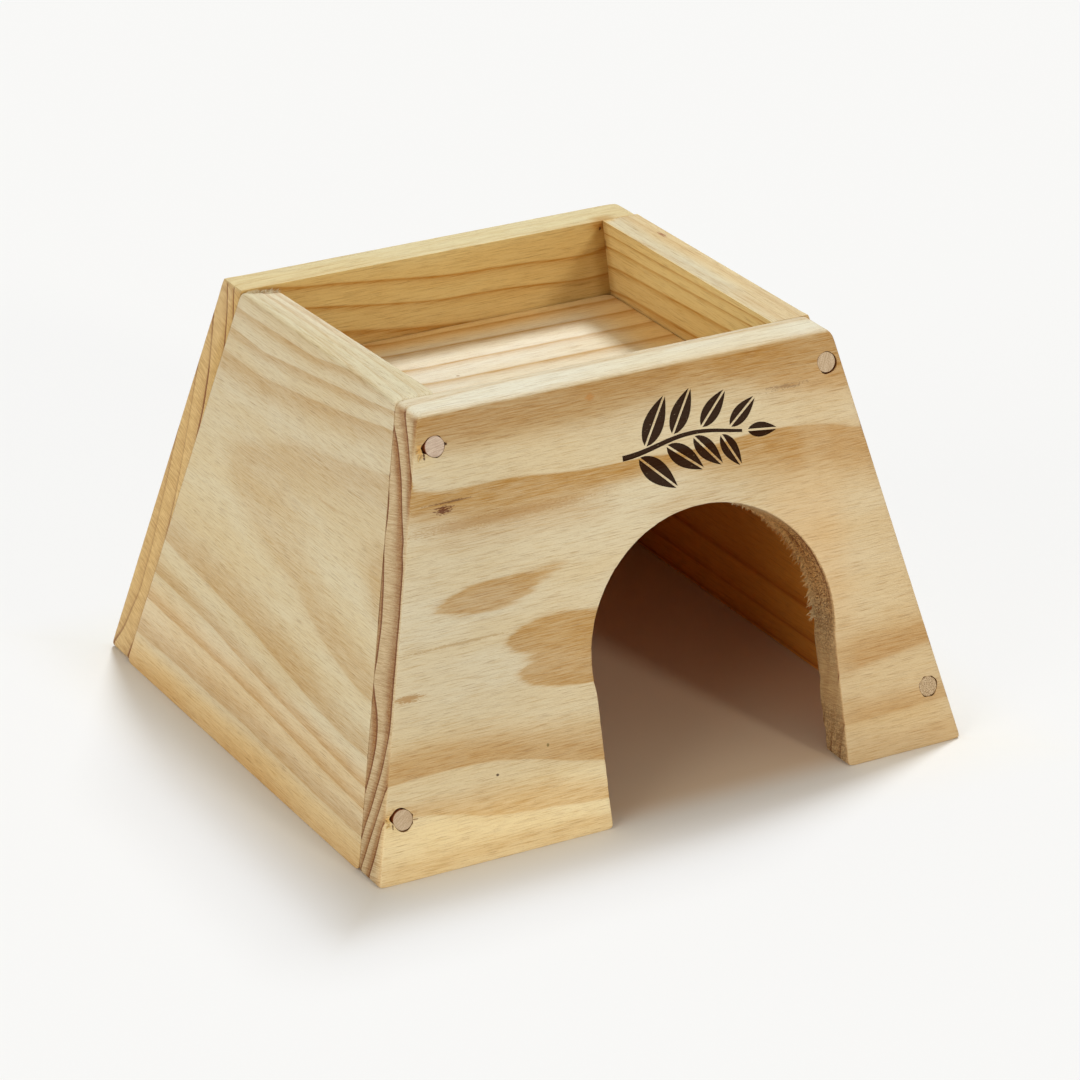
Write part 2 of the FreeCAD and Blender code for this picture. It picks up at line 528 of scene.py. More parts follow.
front_marks = placed(on_face, [
    (2.0, [(-70, 105), (-60, 104), (-40, 104.5), (-25, 103), (-15, 102), (0, 102), (20, 101), (40, 102),
           (50, 101.5), (60, 100), (70, 97.5), (74, 96)]),
    (1.5, [(-72, 91), (-40, 90), (0, 88), (30, 90), (75, 84)]),
    (2.5, [(-66, 116), (-20, 115), (30, 117), (50, 110.5), (66, 108.5)]),
    (2.75, [(48, 117), (66, 114)]),
    (2.92, [(50, 127.5), (66, 126)]),
    (3.0, [(-66, 130), (0, 132), (66, 132)]),
    (1.0, [(-68, 73), (-62, 75.5), (-50, 77.5), (-42, 77.4), (-34, 77.2), (-27, 78.2)]),
    (1.0, [(-66, 72), (-57, 69.8), (-49, 69.7), (-43, 72.6), (-36, 75.2), (-27, 77)]),
    (0.86, [(-56, 74), (-44, 73.5)]),
    (1.0, [(-46, 61), (-40, 63.5), (-30, 64.5), (-21, 63)]),
    (1.0, [(-46, 58), (-38, 54.5), (-22, 54)]),
    (1.0, [(-42, 51), (-34, 45), (-22, 43)]),
    (0.86, [(-38, 59.5), (-24, 59)]),
    (0.86, [(-34, 50), (-23, 49)]),
    (1.15, [(-75, 66), (-50, 65)]),
    (1.14, [(-72, 92), (-76, 80), (-82, 50)]),
    (1.15, [(-22, 72), (0, 92)]),
    (1.2, [(60, 60), (80, 60)]),
    (1.5, [(-88, 37), (-60, 37), (-40, 34.5), (-22, 31)]),
    (2.0, [(-88, 28), (-70, 28.5), (-60, 28), (-50, 27), (-40, 24.5), (-30, 22), (-20, 20)]),
    (2.5, [(-88, 22), (-60, 21), (-40, 18.5), (-20, 15)]),
    (3.0, [(-90, 18), (-75, 17), (-60, 13), (-45, 11), (-20, 9)]),
    (3.5, [(-92, 6), (-20, 5)]),
    (4.0, [(-95, -2), (-20, -2)]),
    (1.5, [(57, 38), (86, 39)]),
    (2.0, [(57, 27.5), (65, 28.5), (88, 31)]),
    (2.5, [(57, 20), (90, 20)]),
    (3.0, [(57, 12.5), (93, 13.5)]),
    (3.5, [(57, 7), (93, 7)]),
    (4.0, [(57, -2), (95, -1)]),
])
front_marks += placed(on_face, [
    (2.0, [(-38, 129.0), (0, 129.2), (60, 129.2)]),
], 9.8)
front_marks += placed(on_left_end, [
    (2.0, [(127, 6.3), (120, 3.3), (113, 0.8), (108, 0)]),
    (1.0, [(123, 11.5), (118, 8.5), (110, 5.5), (100, 3.2), (92, 1.4), (85, 0.7), (75, 0.4), (65, 0.5),
           (55, 0.7), (45, 0.8), (40, 1.2), (35, 2.5), (30, 4), (25, 6), (20, 8), (15, 10.5), (11, 12)]),
    (0.0, [(92, 12), (80, 10.5), (70, 10), (60, 11), (55, 12)]),
    (2.0, [(28, 0), (20, 3.5), (10, 8), (1, 12)]),
    (3.0, [(18, 0.5), (10, 3), (0, 7)]),
])

left_marks = placed(on_face, [
    (1.0, [(60, 109), (50, 106), (20, 100), (0, 97), (-15, 90), (-30, 86), (-35, 82), (-34, 78), (-25, 71),
           (-10, 66), (0, 63), (15, 60), (25, 55), (40, 50), (50, 48), (63, 46)]),
    (0.75, [(-20, 81), (-5, 81)]),
    (1.2, [(-50, 84), (-58, 70)]),
    (1.3, [(-50, 94), (-60, 62)]),
    (0.5, [(10, 82), (20, 80)]),
    (0.2, [(32, 78), (42, 77)]),
    (0.0, [(62, 88), (57, 84), (51, 78), (57, 71), (64, 67)]),
    (2.0, [(-52, 107.5), (-30, 107.5), (0, 111), (30, 115.5), (50, 119)]),
    (1.5, [(-50, 100), (-20, 101), (0, 105.5), (30, 110), (50, 113)]),
    (3.0, [(-50, 115), (-28, 114.5), (20, 120), (50, 124)]),
    (2.5, [(-50, 112.5), (-28, 112.5), (20, 118), (50, 122)]),
    (4.0, [(-48, 121.5), (0, 123), (20, 126)]),
    (3.5, [(-48, 119), (0, 121), (20, 124)]),
    (2.0, [(-66, 43), (-40, 41), (-10, 39), (20, 35), (50, 31.5), (70, 31)]),
    (1.5, [(-62, 54), (-40, 52), (-10, 50), (20, 45), (50, 39), (68, 38)]),
    (3.0, [(-68, 32), (-30, 30.5), (0, 27.5), (20, 26), (50, 24), (72, 23)]),
    (2.5, [(-67, 36), (-30, 34.5), (0, 31), (20, 29), (50, 27), (72, 26)]),
    (4.0, [(-71, 23), (-20, 22), (20, 20), (50, 18), (73, 17)]),
    (3.5, [(-70, 26), (-20, 24.5), (20, 22.5), (50, 20.5), (73, 19.5)]),
    (5.0, [(-73, 11), (-50, 11.5), (0, 11.5), (40, 10), (75, 9.5)]),
    (4.5, [(-72, 17), (-50, 17), (0, 17), (40, 14.5), (75, 14)]),
    (5.5, [(-76, 5), (76, 4)]),
    (6.0, [(-76, -2), (76, -2)]),
])

back_marks = placed(on_right_end, [
    (1.0, [(80, 0), (60, 3.2), (40, 6), (25, 7), (10, 4.5), (1, 1)]),
    (2.0, [(101, 0), (90, 3), (75, 7), (60, 10.5), (50, 12)]),
    (3.0, [(117, 0), (110, 3.5), (100, 8), (90, 11), (82, 12.3)]),
    (4.0, [(127, 3.5), (120, 8), (112, 12)]),
    (5.0, [(127, 8), (120, 12.5)]),
])
back_marks += placed(on_face, [
    (6.0, [(45, 126.5), (30, 125), (0, 121), (-20, 120), (-50, 118)]),
    (5.5, [(45, 123.5), (30, 121.5), (0, 117.5), (-20, 116.5), (-50, 114.5)]),
    (5.0, [(40, 118.5), (20, 115), (0, 112.5), (-20, 112), (-50, 109.5)]),
    (4.5, [(40, 114.5), (20, 112), (0, 109), (-20, 108.5), (-50, 106)]),
    (4.0, [(25, 107), (10, 104.5), (-10, 102.5), (-50, 100)]),
], board_thickness)

right_marks = placed(on_face, [
    (6.0, [(45, 125.5), (-45, 128)]),
    (5.0, [(45, 121), (-45, 124)]),
    (4.0, [(45, 114), (-45, 118)]),
    (3.0, [(45, 105), (-45, 108)]),
], board_thickness)

tray_floor_marks = placed(on_face, [
    (5.0, [(-20, 51), (60, 50)]),
    (4.0, [(-20, 41.5), (60, 39)]),
    (3.0, [(-20, 28.5), (60, 27.5)]),
    (2.0, [(-20, 16.5), (60, 15.5)]),
    (4.5, [(-20, 47), (60, 46)]),
    (3.5, [(-20, 37.5), (60, 35)]),
    (2.5, [(-20, 24.5), (60, 23.5)]),
    (1.5, [(-20, 12.5), (60, 11.5)]),
])

# The middle of the tree behind each board as (height, depth), the width of a ring and the year on the face
growths = {
    "front_panel": Growth((65.0, 140.0), 5.5, 1.0, front_marks),
    "back_panel": Growth((27.0, -200.0), 7.5, 0.2, back_marks),
    "left_side_panel": Growth((78.0, 100.0), 4.0, 0.6, left_marks),
    "right_side_panel": Growth((40.0, 60.0), 5.0, 0.0, right_marks),
    "roof_panel": Growth((-60.0, 40.0), 12.0, -3.0, tray_floor_marks),
}
# How ragged the edge of a ring is, as a share of a year
raggedness = {name: 0.05 for name in growths}
raggedness["front_panel"] = 0.10
# How the rings show, as (strength of the late wood, how thin its lines are, how soft their edges are).
# A patch is a centre, a reach and the style there; a place is (u, v, depth).
rim = (0, slope_length, 6)
rim_reach = (200, 0.9, 9)
inner_face = (0, 112, 12)
inner_reach = (200, 26, 4)
outer_face = (0, 60, 0)
outer_reach = (200, 100, 0.5)
ring_styles = {
    "front_panel": ((0.95, 0.0, 0.0), [
        ((-45, 66, 0), (28, 20, 3), (0.82, 0.0, 0.0)),
        ((-55, 32, 0), (62, 9, 3), (0.74, 0.0, 0.1)),
        ((-55, 14, 0), (62, 10, 3), (0.58, 0.0, 0.3)),
        ((75, 17, 0), (26, 22, 3), (0.48, 0.0, 0.6)),
        ((75, 33, 0), (24, 8, 3), (0.70, 0.0, 0.5)),
        ((75, 94, 0), (20, 9, 3), (0.75, 0.0, 0.2)),
        (rim, rim_reach, (0.5, 1.0, 0.2)),
        ((57, 45, 6.5), (5, 60, 7.5), (0.15, 0.0, 1.0)),
        ((45, 76, 6.5), (9, 10, 7.5), (0.15, 0.0, 1.0)),
        ((0, 0, 0), (200, 4, 2), (0.3, 0.0, 1.0)),
    ]),
    "back_panel": ((0.6, 0.0, 0.2), [
        ((82, 60, 6), (24, 90, 9), (0.26, 0.6, 0.0)),
        (outer_face, outer_reach, (0.6, 0.0, 0.2)),
        (inner_face, inner_reach, (0.9, 1.0, 0.0)),
        (rim, rim_reach, (0.22, 1.0, 0.3)),
    ]),
    "left_side_panel": ((0.58, 0.2, 0.2), [
        ((5, 80, 0), (58, 29, 3), (0.33, 0.0, 1.0)),
        (rim, rim_reach, (0.33, 1.0, 0.3)),
    ]),
    "right_side_panel": ((0.9, 1.0, 0.0), [
        (rim, rim_reach, (0.3, 1.0, 0.4)),
    ]),
    "roof_panel": ((0.9, 1.0, 0.3), []),
}
# What a board's colour is multiplied by, in patches of the same kind; besides the wood's own tones, some
# patches are painted shade or painted light, as marked
tints_and_painted_light = {
    "front_panel": [
        ((75, 66, 0), (34, 70, 3), (1.0, 0.93, 0.85)),
        ((76, 20, 0), (24, 22, 3), (0.95, 0.84, 0.70)),
        ((-64, 75, 0), (26, 48, 3), (0.94, 0.96, 1.0)),
        ((-55, 26, 0), (62, 12, 3), (0.99, 0.94, 0.85)),
        ((-50, 5, 0), (60, 14, 2.5), (1.33, 1.32, 1.22)),
        ((-30, 122, 0), (60, 7, 1.5), (0.84, 0.77, 0.66)),
        ((48, 124, 0), (30, 7, 1.5), (0.92, 0.86, 0.76)),
        ((50, 62, 8), (14, 24, 7.8), (1.02, 0.70, 0.38)),
        ((58, 20, 7), (5, 28, 7), (0.84, 0.71, 0.55)),
        ((-66, 117, -0.9), (4, 4, 0.85), (1.12, 1.0, 0.66)),
        ((-89, 18, -0.9), (4, 4, 0.85), (1.12, 1.0, 0.66)),
        (rim, rim_reach, (1.02, 1.08, 1.18)),
    ],
    "back_panel": [
        ((82, 60, 6), (24, 90, 9), (1.14, 1.03, 0.74)),
        (outer_face, outer_reach, (1.0, 1.0, 1.0)),
        # Painted shade: the inner face in the tray, which lies in shade, goes a deeper gold
        (inner_face, inner_reach, (1.02, 0.88, 0.55)),
        (rim, rim_reach, (0.96, 0.93, 0.74)),
        # The same painted shade, held tight to the inner face itself
        (inner_face, (200, 26, 0.04), (1.02, 0.88, 0.55)),
    ],
    "left_side_panel": [
        ((0, 55, 0), (200, 28, 3), (1.05, 1.05, 1.02)),
        ((0, 3, 0), (200, 7, 3), (1.13, 0.98, 0.74)),
        ((0, 20, 0), (200, 9, 3), (1.09, 1.03, 0.96)),
        (rim, rim_reach, (0.90, 0.91, 0.86)),
        # Painted light: the torn fibres at the back end of the top edge made lighter and more golden, as if
        # lit through
        ((-70, slope_length, 6), (5, 2.6, 8), (1.30, 1.17, 0.74)),
    ],
    "right_side_panel": [
        # Painted shade: the inner face in the tray, which lies in shade, goes a deeper gold
        (inner_face, inner_reach, (1.14, 1.01, 0.65)),
        (rim, rim_reach, (0.92, 0.92, 0.88)),
        ((0, slope_length, 1.5), (60, 3, 5.0), (0.97, 0.86, 0.66)),
        ((-38, slope_length, 4), (18, 3, 8), (0.93, 0.82, 0.64)),
        # The same painted shade, held tight to the inner face itself
        (inner_face, (200, 26, 0.12), (1.14, 1.01, 0.65)),
    ],
    "roof_panel": [
        ((0, 0, 0), (200, 200, 4), (1.19, 1.24, 1.37)),
        # Painted shade: golden strips along the tray floor's right and back edges, where the walls cast their
        # shade
        ((58, 0, 0), (13, 60, 4), (1.26, 1.06, 0.70)),
        ((0, 54, 0), (70, 10, 4), (1.22, 1.05, 0.74)),
    ],
}
# Painted shade in the tray's back right corner: brown down the back board's and the right board's inner faces
for level in (124, 116, 108, 100):
    back_corner = wall_half(room_half(base_width, 0), level, 0)
    right_corner = wall_half(room_half(base_depth, 0), level, 0)
    tints_and_painted_light["back_panel"].append(((-back_corner, level, 12), (3.5, 6, 4), (0.75, 0.55, 0.25)))
    tints_and_painted_light["right_side_panel"].append(((right_corner, level, 12), (2.5, 6, 4), (0.94, 0.73, 0.38)))
# Where the doorway's edge is torn, in patches of the same kind
torn_reveal = [
    ((48, 62, 6.5), (16, 30, 6.5), 1.0),
    ((48, 5, 6.5), (16, 12, 6.5), 0.6),
]
torn_reach = 41.0
# Each board's wood is another part of the same material, this far along its grain
board_spacing = 1000.0
board_numbers = {name: index for index, name in enumerate(growths)}


# Putting a piece into the scene

def add_to_scene(name, data):
    thing = bpy.data.objects.new(name, data)
    bpy.context.scene.collection.objects.link(thing)
    return thing


def make_object(name, shell, place):
    """A mesh object from a shell in a piece's own frame, with its normals facing out."""
    points = shell.points()
    local = np.column_stack([points[:, 0], points[:, 1], -points[:, 2]])
    faces = [tuple(map(int, face)) for face in shell.faces]
    mesh = bpy.data.meshes.new(name)
    mesh.from_pydata([place @ Vector(point) for point in local], [], faces)
    work = bmesh.new()
    work.from_mesh(mesh)
    bmesh.ops.recalc_face_normals(work, faces=work.faces)
    work.to_mesh(mesh)
    work.free()
    return add_to_scene(name, mesh)


def own_coordinates(piece, place):
    """Each vertex of a piece in its own frame, as (u, v, depth), and how far its normal runs along u."""
    mesh = piece.data
    places = np.empty(len(mesh.vertices) * 3)
    mesh.vertices.foreach_get("co", places)
    back = np.array(place.inverted())
    local = places.reshape(-1, 3) @ back[:3, :3].T + back[:3, 3]
    normals = np.array([tuple(vertex.normal) for vertex in mesh.vertices])
    turned = normals @ np.array(place.to_3x3().normalized())
    return np.column_stack([local[:, 0], local[:, 1], -local[:, 2]]), np.abs(turned[:, 0])


def store(piece, name, values):
    """Keep a number or a vector for each vertex of a piece."""
    values = np.asarray(values, np.float32)
    kind, field = ("FLOAT_VECTOR", "vector") if values.ndim == 2 else ("FLOAT", "value")
    attribute = piece.data.attributes.new(name, kind, "POINT")
    attribute.data.foreach_set(field, values.ravel())


def drill(piece, side_name):
    """Bore the blind holes for the pegs into both ends of a side board."""
    ring = blind_hole_radius * ring_at(turns(32))
    cutters = []
    for wall in ("front", "back"):
        for corner in front_insets:
            if corner.endswith(side_name):
                bit = Shell()
                loop = peg_spot(wall, corner) + ring
                start, end = [bit.add(at_depth(loop, depth)) for depth in (-1.0, peg_length)]
                bit.strip(start, end)
                bit.faces += [tuple(start[::-1]), tuple(end)]
                cutters.append(make_object("bit", bit, wall_frame(wall)))
    for cutter in cutters:
        modifier = piece.modifiers.new("drill", "BOOLEAN")
        modifier.object = cutter
        modifier.solver = "EXACT"
    made = piece.evaluated_get(bpy.context.evaluated_depsgraph_get())
    mesh = bpy.data.meshes.new_from_object(made)
    piece.modifiers.clear()
    piece.data = mesh
    for cutter in cutters:
        bpy.data.objects.remove(cutter)


def settle(piece, node, material, sharp_angle):
    """Shade a piece smoothly up to an angle, and put it in the place of a node of the frame."""
    for polygon in piece.data.polygons:
        polygon.use_smooth = True
    piece.data.set_sharp_from_angle(angle=math.radians(sharp_angle))
    piece.data.materials.append(material)
    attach(piece, "root")
    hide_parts(node)


def dress_board(piece, node, place, material, end_share=None):
    """Give a board its grain, its finish and its place in the frame."""
    spots, by_normal = own_coordinates(piece, place)
    square = squared(spots, node)
    torn = patched(square, (0.0,), torn_reveal)[:, 0] * (node == "front_panel")
    store(piece, "growth", growths[node].at(spots))
    store(piece, "end_grain", by_normal if end_share is None else end_share)
    store(piece, "indoors", is_indoors(spots, node))
    store(piece, "ragged", np.full(len(spots), raggedness[node]))
    store(piece, "ring_style", patched(square, *ring_styles[node]))
    store(piece, "tint", patched(square, (1.0, 1.0, 1.0), tints_and_painted_light[node]) * hole_shade(spots, node))
    store(piece, "torn", torn * (np.abs(spots[:, 0] - doorway_middle) < torn_reach))
    store(piece, "grain", spots + np.array([board_spacing * board_numbers[node], 0, 0]))
    store(piece, "burn", is_burnt(spots) & (node == "front_panel"))
    settle(piece, node, material, 40)


# How far from a peg's axis the wood of its hole reaches, and the share of red, green and blue lost there to
# painted shade
hole_reach = 4.6
hole_loss = np.array([0.45, 0.68, 0.86])


def hole_shade(spots, node):
    """Painted shade inside a board's peg holes: what the colour is multiplied by there, darker and browner
    with depth.
    """
    shade = np.ones((len(spots), 3))
    wall = node.split("_")[0]
    if wall not in ("front", "back"):
        return shade
    below = np.clip((spots[:, 2] - 0.1) / 0.5, 0, 1) * (spots[:, 2] < board_thickness - 0.1)
    for corner in front_insets:
        away = np.linalg.norm(spots[:, :2] - peg_spot(wall, corner), axis=1)
        shade *= 1 - np.outer(below * (away < hole_reach), hole_loss)
    return shade


def squared(spots, node):
    """The points of a board with its level top and foot made square to its faces."""
    shift = 0 if node == "roof_panel" else slope
    return spots - np.outer(spots[:, 2] * shift, (0, 1, 0))


def patched(spots, base, patches):
    """A value at each point: the base, drawn to other values inside flat-topped patches."""
    values = np.tile(np.array(base, float), (len(spots), 1))
    for centre, reach, value in patches:
        away = (np.abs((spots - np.array(centre)) / np.array(reach)) ** 4).sum(axis=1)
        values += np.exp(-away)[:, None] * (np.array(value) - values)
    return values


# How far off its plane a point of the inner face may lie
face_tolerance = 0.002


def is_indoors(spots, node):
    """Whether each point is on a face of the chamber, under the tray floor, where painted shade darkens the
    wood.
    """
    on_inner_face = spots[:, 2] > board_thickness - face_tolerance
    if node == "roof_panel":
        return on_inner_face
    level = math.cos(lean) * spots[:, 1] - math.sin(lean) * spots[:, 2]
    return on_inner_face & (level < tray_floor_level - board_thickness / 2)


def is_burnt(spots):
    """Whether each point is in the engraved sprig, under the outer face."""
    (left, low), (right, high) = motif_area
    beside = (spots[:, 0] > left) & (spots[:, 0] < right) & (spots[:, 1] > low) & (spots[:, 1] < high)
    return beside & (spots[:, 2] > 0.05) & (spots[:, 2] < engraving_depth + 0.05)


# Peg holes

front_insets = {"upper_left": 6.6, "lower_left": 5.9, "upper_right": 5.0, "lower_right": 5.4}

# Where wood tore out round each front hole, as (direction in degrees, width in degrees, how far)
torn_holes = {
    "upper_left": [(162, 56, 0.48), (178, 18, 1.0), (196, 8, 0.5), (3, 7, 0.6), (60, 12, 0.2),
                   (-80, 20, 0.25)],
    "lower_left": [(128, 36, 0.90), (164, 16, 1.05), (90, 20, 0.3), (-85, 38, 0.50), (-30, 9, 0.3),
                   (15, 6, 0.4)],
    "upper_right": [(-28, 54, 0.72), (-105, 26, 0.40), (150, 30, 0.14), (80, 20, 0.12)],
    "lower_right": [(20, 30, 0.36), (-62, 24, 0.36), (110, 14, 0.32), (160, 20, 0.22), (-120, 14, 0.30),
                    (60, 8, 0.3)],
}
mouth_radius = 2.95
mouth_roughness = 0.08


def peg_spot(wall, corner):
    """Where a peg's axis meets the wall's outer face."""
    level = upper_peg_level if corner.startswith("upper") else lower_peg_level
    inset = front_insets[corner] if wall == "front" else back_peg_inset
    across = wall_half(base_width / 2, level, 0) - inset
    if corner.endswith("left") == (wall == "front"):
        across = -across
    return np.array([across, level])


def torn_radius(tears, seed):
    """Radius of a drilled hole's mouth by angle, with its tears and a little raggedness."""
    def radius_at(angles):
        radius = np.full(len(angles), mouth_radius)
        for direction, width, reach in tears:
            away = np.degrees(np.angle(np.exp(1j * (angles - math.radians(direction)))))
            radius += reach * np.exp(-(away / width) ** 2)
        unevenness = waves(at_depth(ring_at(angles), 0), (0.3, 0.3, 1), seed)
        return radius + mouth_roughness * np.clip(unevenness, 0, 1)
    return radius_at


def wall_holes(wall):
    holes = []
    for index, corner in enumerate(front_insets):
        tears = torn_holes[corner] if wall == "front" else [(90 * index, 40, 0.2)]
        holes.append((peg_spot(wall, corner), torn_radius(tears, index + 5)))
    return holes


# The five boards

def make_boards(material):
    across, along = wall_outline(base_width / 2), wall_outline(room_half(base_depth, 0))
    right_finish = plain_finish(0.8, 0.03, inner=0.15, corners=0.02, roughness=0.0)
    front = build_shell(front_outline, front_finish, wall_holes("front"), sprig(), 2.4)
    fray_doorway(front)
    add_chips(front)
    back = build_shell(across, back_finish, wall_holes("back"), (), 1.7)
    left = build_shell(along, left_finish, back_step=2.0)
    fray_left_end(left)
    right = build_shell(along, right_finish, back_step=1.7)
    floor = build_shell(tray_floor_outline, plain_finish(0.4, 0.4))
    for wall, shell in (("front", front), ("back", back)):
        piece = make_object(wall + "_board", shell, wall_frame(wall))
        dress_board(piece, wall + "_panel", wall_frame(wall), material, np.concatenate(shell.end_shares))
    for wall, shell in (("left", left), ("right", right)):
        piece = make_object(wall + "_side_board", shell, wall_frame(wall))
        drill(piece, wall)
        dress_board(piece, wall + "_side_panel", wall_frame(wall), material)
    piece = make_object("tray_floor_board", floor, floor_frame())
    dress_board(piece, "roof_panel", floor_frame(), material, np.concatenate(floor.end_shares))


# The burnt sprig over the doorway, and the part of the wall that it lies in

motif_area = ((-10, 86), (45, 124))
engraving_depth = 0.25
sprig_middle = (17.5, 104.5)
sprig_length = 45.0
sprig_bow = 3.0
stem_width = 1.5
leaf_length = 15.0
leaf_width = 5.9
leaf_pairs = 4
leaf_lean = math.radians(50)
vein_width = 0.6
stem_end = 0.86
first_leaf, next_leaf = 0.12, 0.2
leaf_shrink = 0.09
tip_leaf_size = 0.62


def stem_point(share):
    """A point on the stem and its direction, from its foot at 0 to its tip at 1."""
    x = sprig_middle[0] + sprig_length * (share - 0.5)
    y = sprig_middle[1] + sprig_bow * math.sin(math.pi * (2 * share - 0.5)) * 0.5
    rise = sprig_bow * math.pi * math.cos(math.pi * (2 * share - 0.5)) / sprig_length
    return np.array([x, y]), math.atan(rise)


def half_leaf(foot, direction, side, size):
    """One half of a leaf beside its vein, as a closed loop."""
    shares = np.linspace(0, 1, 15)
    edge = vein_width / 2 + leaf_width / 2 * size * np.sin(math.pi * shares ** 0.8) ** 0.9
    along = leaf_length * size * shares
    outer = np.column_stack([along, side * edge])
    vein = np.column_stack([along, np.full(len(along), side * vein_width / 2)])[1:-1][::-1]
    loop = np.concatenate([outer, vein])
    turn = np.array([[math.cos(direction), math.sin(direction)], [-math.sin(direction), math.cos(direction)]])
    loop = foot + loop @ turn
    return loop if side < 0 else loop[::-1]


def sprig():
    """The loops of a plain leafy sprig."""
    upper, lower = [], []
    for share in np.linspace(0, stem_end, 28):
        point, direction = stem_point(share)
        across = np.array([-math.sin(direction), math.cos(direction)]) * stem_width / 2 * (1.1 - 0.6 * share)
        upper.append(point + across)
        lower.append(point - across)
    loops = [np.array(lower + upper[::-1])]
    for pair in range(leaf_pairs):
        for side in (-1, 1):
            point, direction = stem_point(first_leaf + next_leaf * pair + 0.03 * side)
            out = direction + side * leaf_lean
            foot = point + (stem_width / 2 + 0.9) * np.array([math.cos(out), math.sin(out)])
            loops += [half_leaf(foot, out, half, 1 - leaf_shrink * pair) for half in (-1, 1)]
    point, direction = stem_point(stem_end + 0.04)
    loops += [half_leaf(point, direction, half, tip_leaf_size) for half in (-1, 1)]
    return loops


# Torn wood

# Fibres along the doorway's edge: how many, their lengths and widths, and how deep in the edge they start
doorway_fibres = [
    (1100, (0.7, 2.0), (0.2, 0.5), 9.0),
    (230, (1.3, 3.4), (0.5, 1.2), 1.2),
]


def fray_doorway(shell):
    """Fibres that the saw left standing along the inner right edge of the doorway."""
    draws = np.random.default_rng(5)
    for count, lengths, widths, deepest in doorway_fibres:
        for _ in range(count):
            angle = math.radians(draws.uniform(-4, 66))
            outward = np.array([math.cos(angle), math.sin(angle), 0])
            level = doorway_bore_level + doorway_bore_radius * outward[1]
            thick = np.clip((80 - level) / 22, 0.03, 1.0)
            depth = board_thickness - 0.15 - deepest * thick * draws.uniform(0, 1) ** 1.5
            bore_middle = np.array([doorway_middle, doorway_bore_level, depth])
            root = bore_middle + (doorway_bore_radius + 0.3) * outward
            length = draws.uniform(*lengths) * (0.45 + 0.55 * thick)
            way = np.array([-0.65, -0.55, 0.2]) + draws.normal(0, 0.35, 3)
            way -= outward * max(0, way @ outward + 0.3)
            tip = root + length * way / np.linalg.norm(way)
            tip[2] = min(tip[2], board_thickness - 0.02)
            shell.splinter(root, tip, draws.uniform(*widths))


def fray_left_end(shell):
    """Fibres torn up along the back end of the left board's top edge, where it meets the back board."""
    draws = np.random.default_rng(8)
    half = room_half(base_depth, 0)
    for _ in range(95):
        depth = draws.uniform(0.8, board_thickness - 1.0)
        surface = slope_length + (1 - left_twist) * slope * depth
        root = np.array([draws.uniform(1.2, 3.2) - wall_half(half, surface, depth), surface - 0.1, depth])
        tip = root + np.array([draws.uniform(-1.7, 1.1), draws.uniform(0.3, 1.8), draws.uniform(0.3, 2.4)])
        tip[2] = min(tip[2], board_thickness - 0.3)
        tip[1] = min(tip[1], slope_length + slope * tip[2] - 0.05)
        tip[0] = max(tip[0], 0.8 - wall_half(half, tip[1], tip[2]))
        shell.splinter(root, tip, draws.uniform(0.25, 0.5), 0.0)


# Chips of wood beside the front pegs: place from the peg's middle, length, width and direction
chips = {
    "upper_left": [
        ((-4.4, -0.2), 2.3, 1.3, 200), ((-4.7, -1.4), 2.0, 1.1, 235), ((-4.0, -2.0), 1.7, 0.9, 215),
        ((-5.2, -2.3), 1.2, 0.9, 250), ((-4.2, 0.9), 1.5, 0.9, 160), ((3.4, 0.8), 0.8, 0.4, 30),
    ],
    "lower_left": [
        ((-4.3, 0.0), 2.2, 1.2, 150), ((-3.9, -0.8), 2.0, 1.0, 190), ((-5.0, 0.6), 1.3, 0.8, 120),
        ((-4.6, -0.5), 1.2, 0.7, 215), ((-2.2, 3.5), 0.9, 0.5, 160), ((3.4, -0.7), 0.9, 0.45, 20),
        ((3.7, 0.6), 0.9, 0.4, 60), ((3.3, 1.5), 0.7, 0.4, 30),
    ],
}
chip_root_depth = 0.12
chip_rise = 0.38


def add_chips(shell):
    for corner, corner_chips in chips.items():
        for place, length, width, direction in corner_chips:
            angle = math.radians(direction)
            root = np.array([*(peg_spot("front", corner) + place), chip_root_depth])
            tip = root + length * np.array([math.cos(angle), math.sin(angle), -chip_rise])
            shell.splinter(root, tip, width)


# Materials

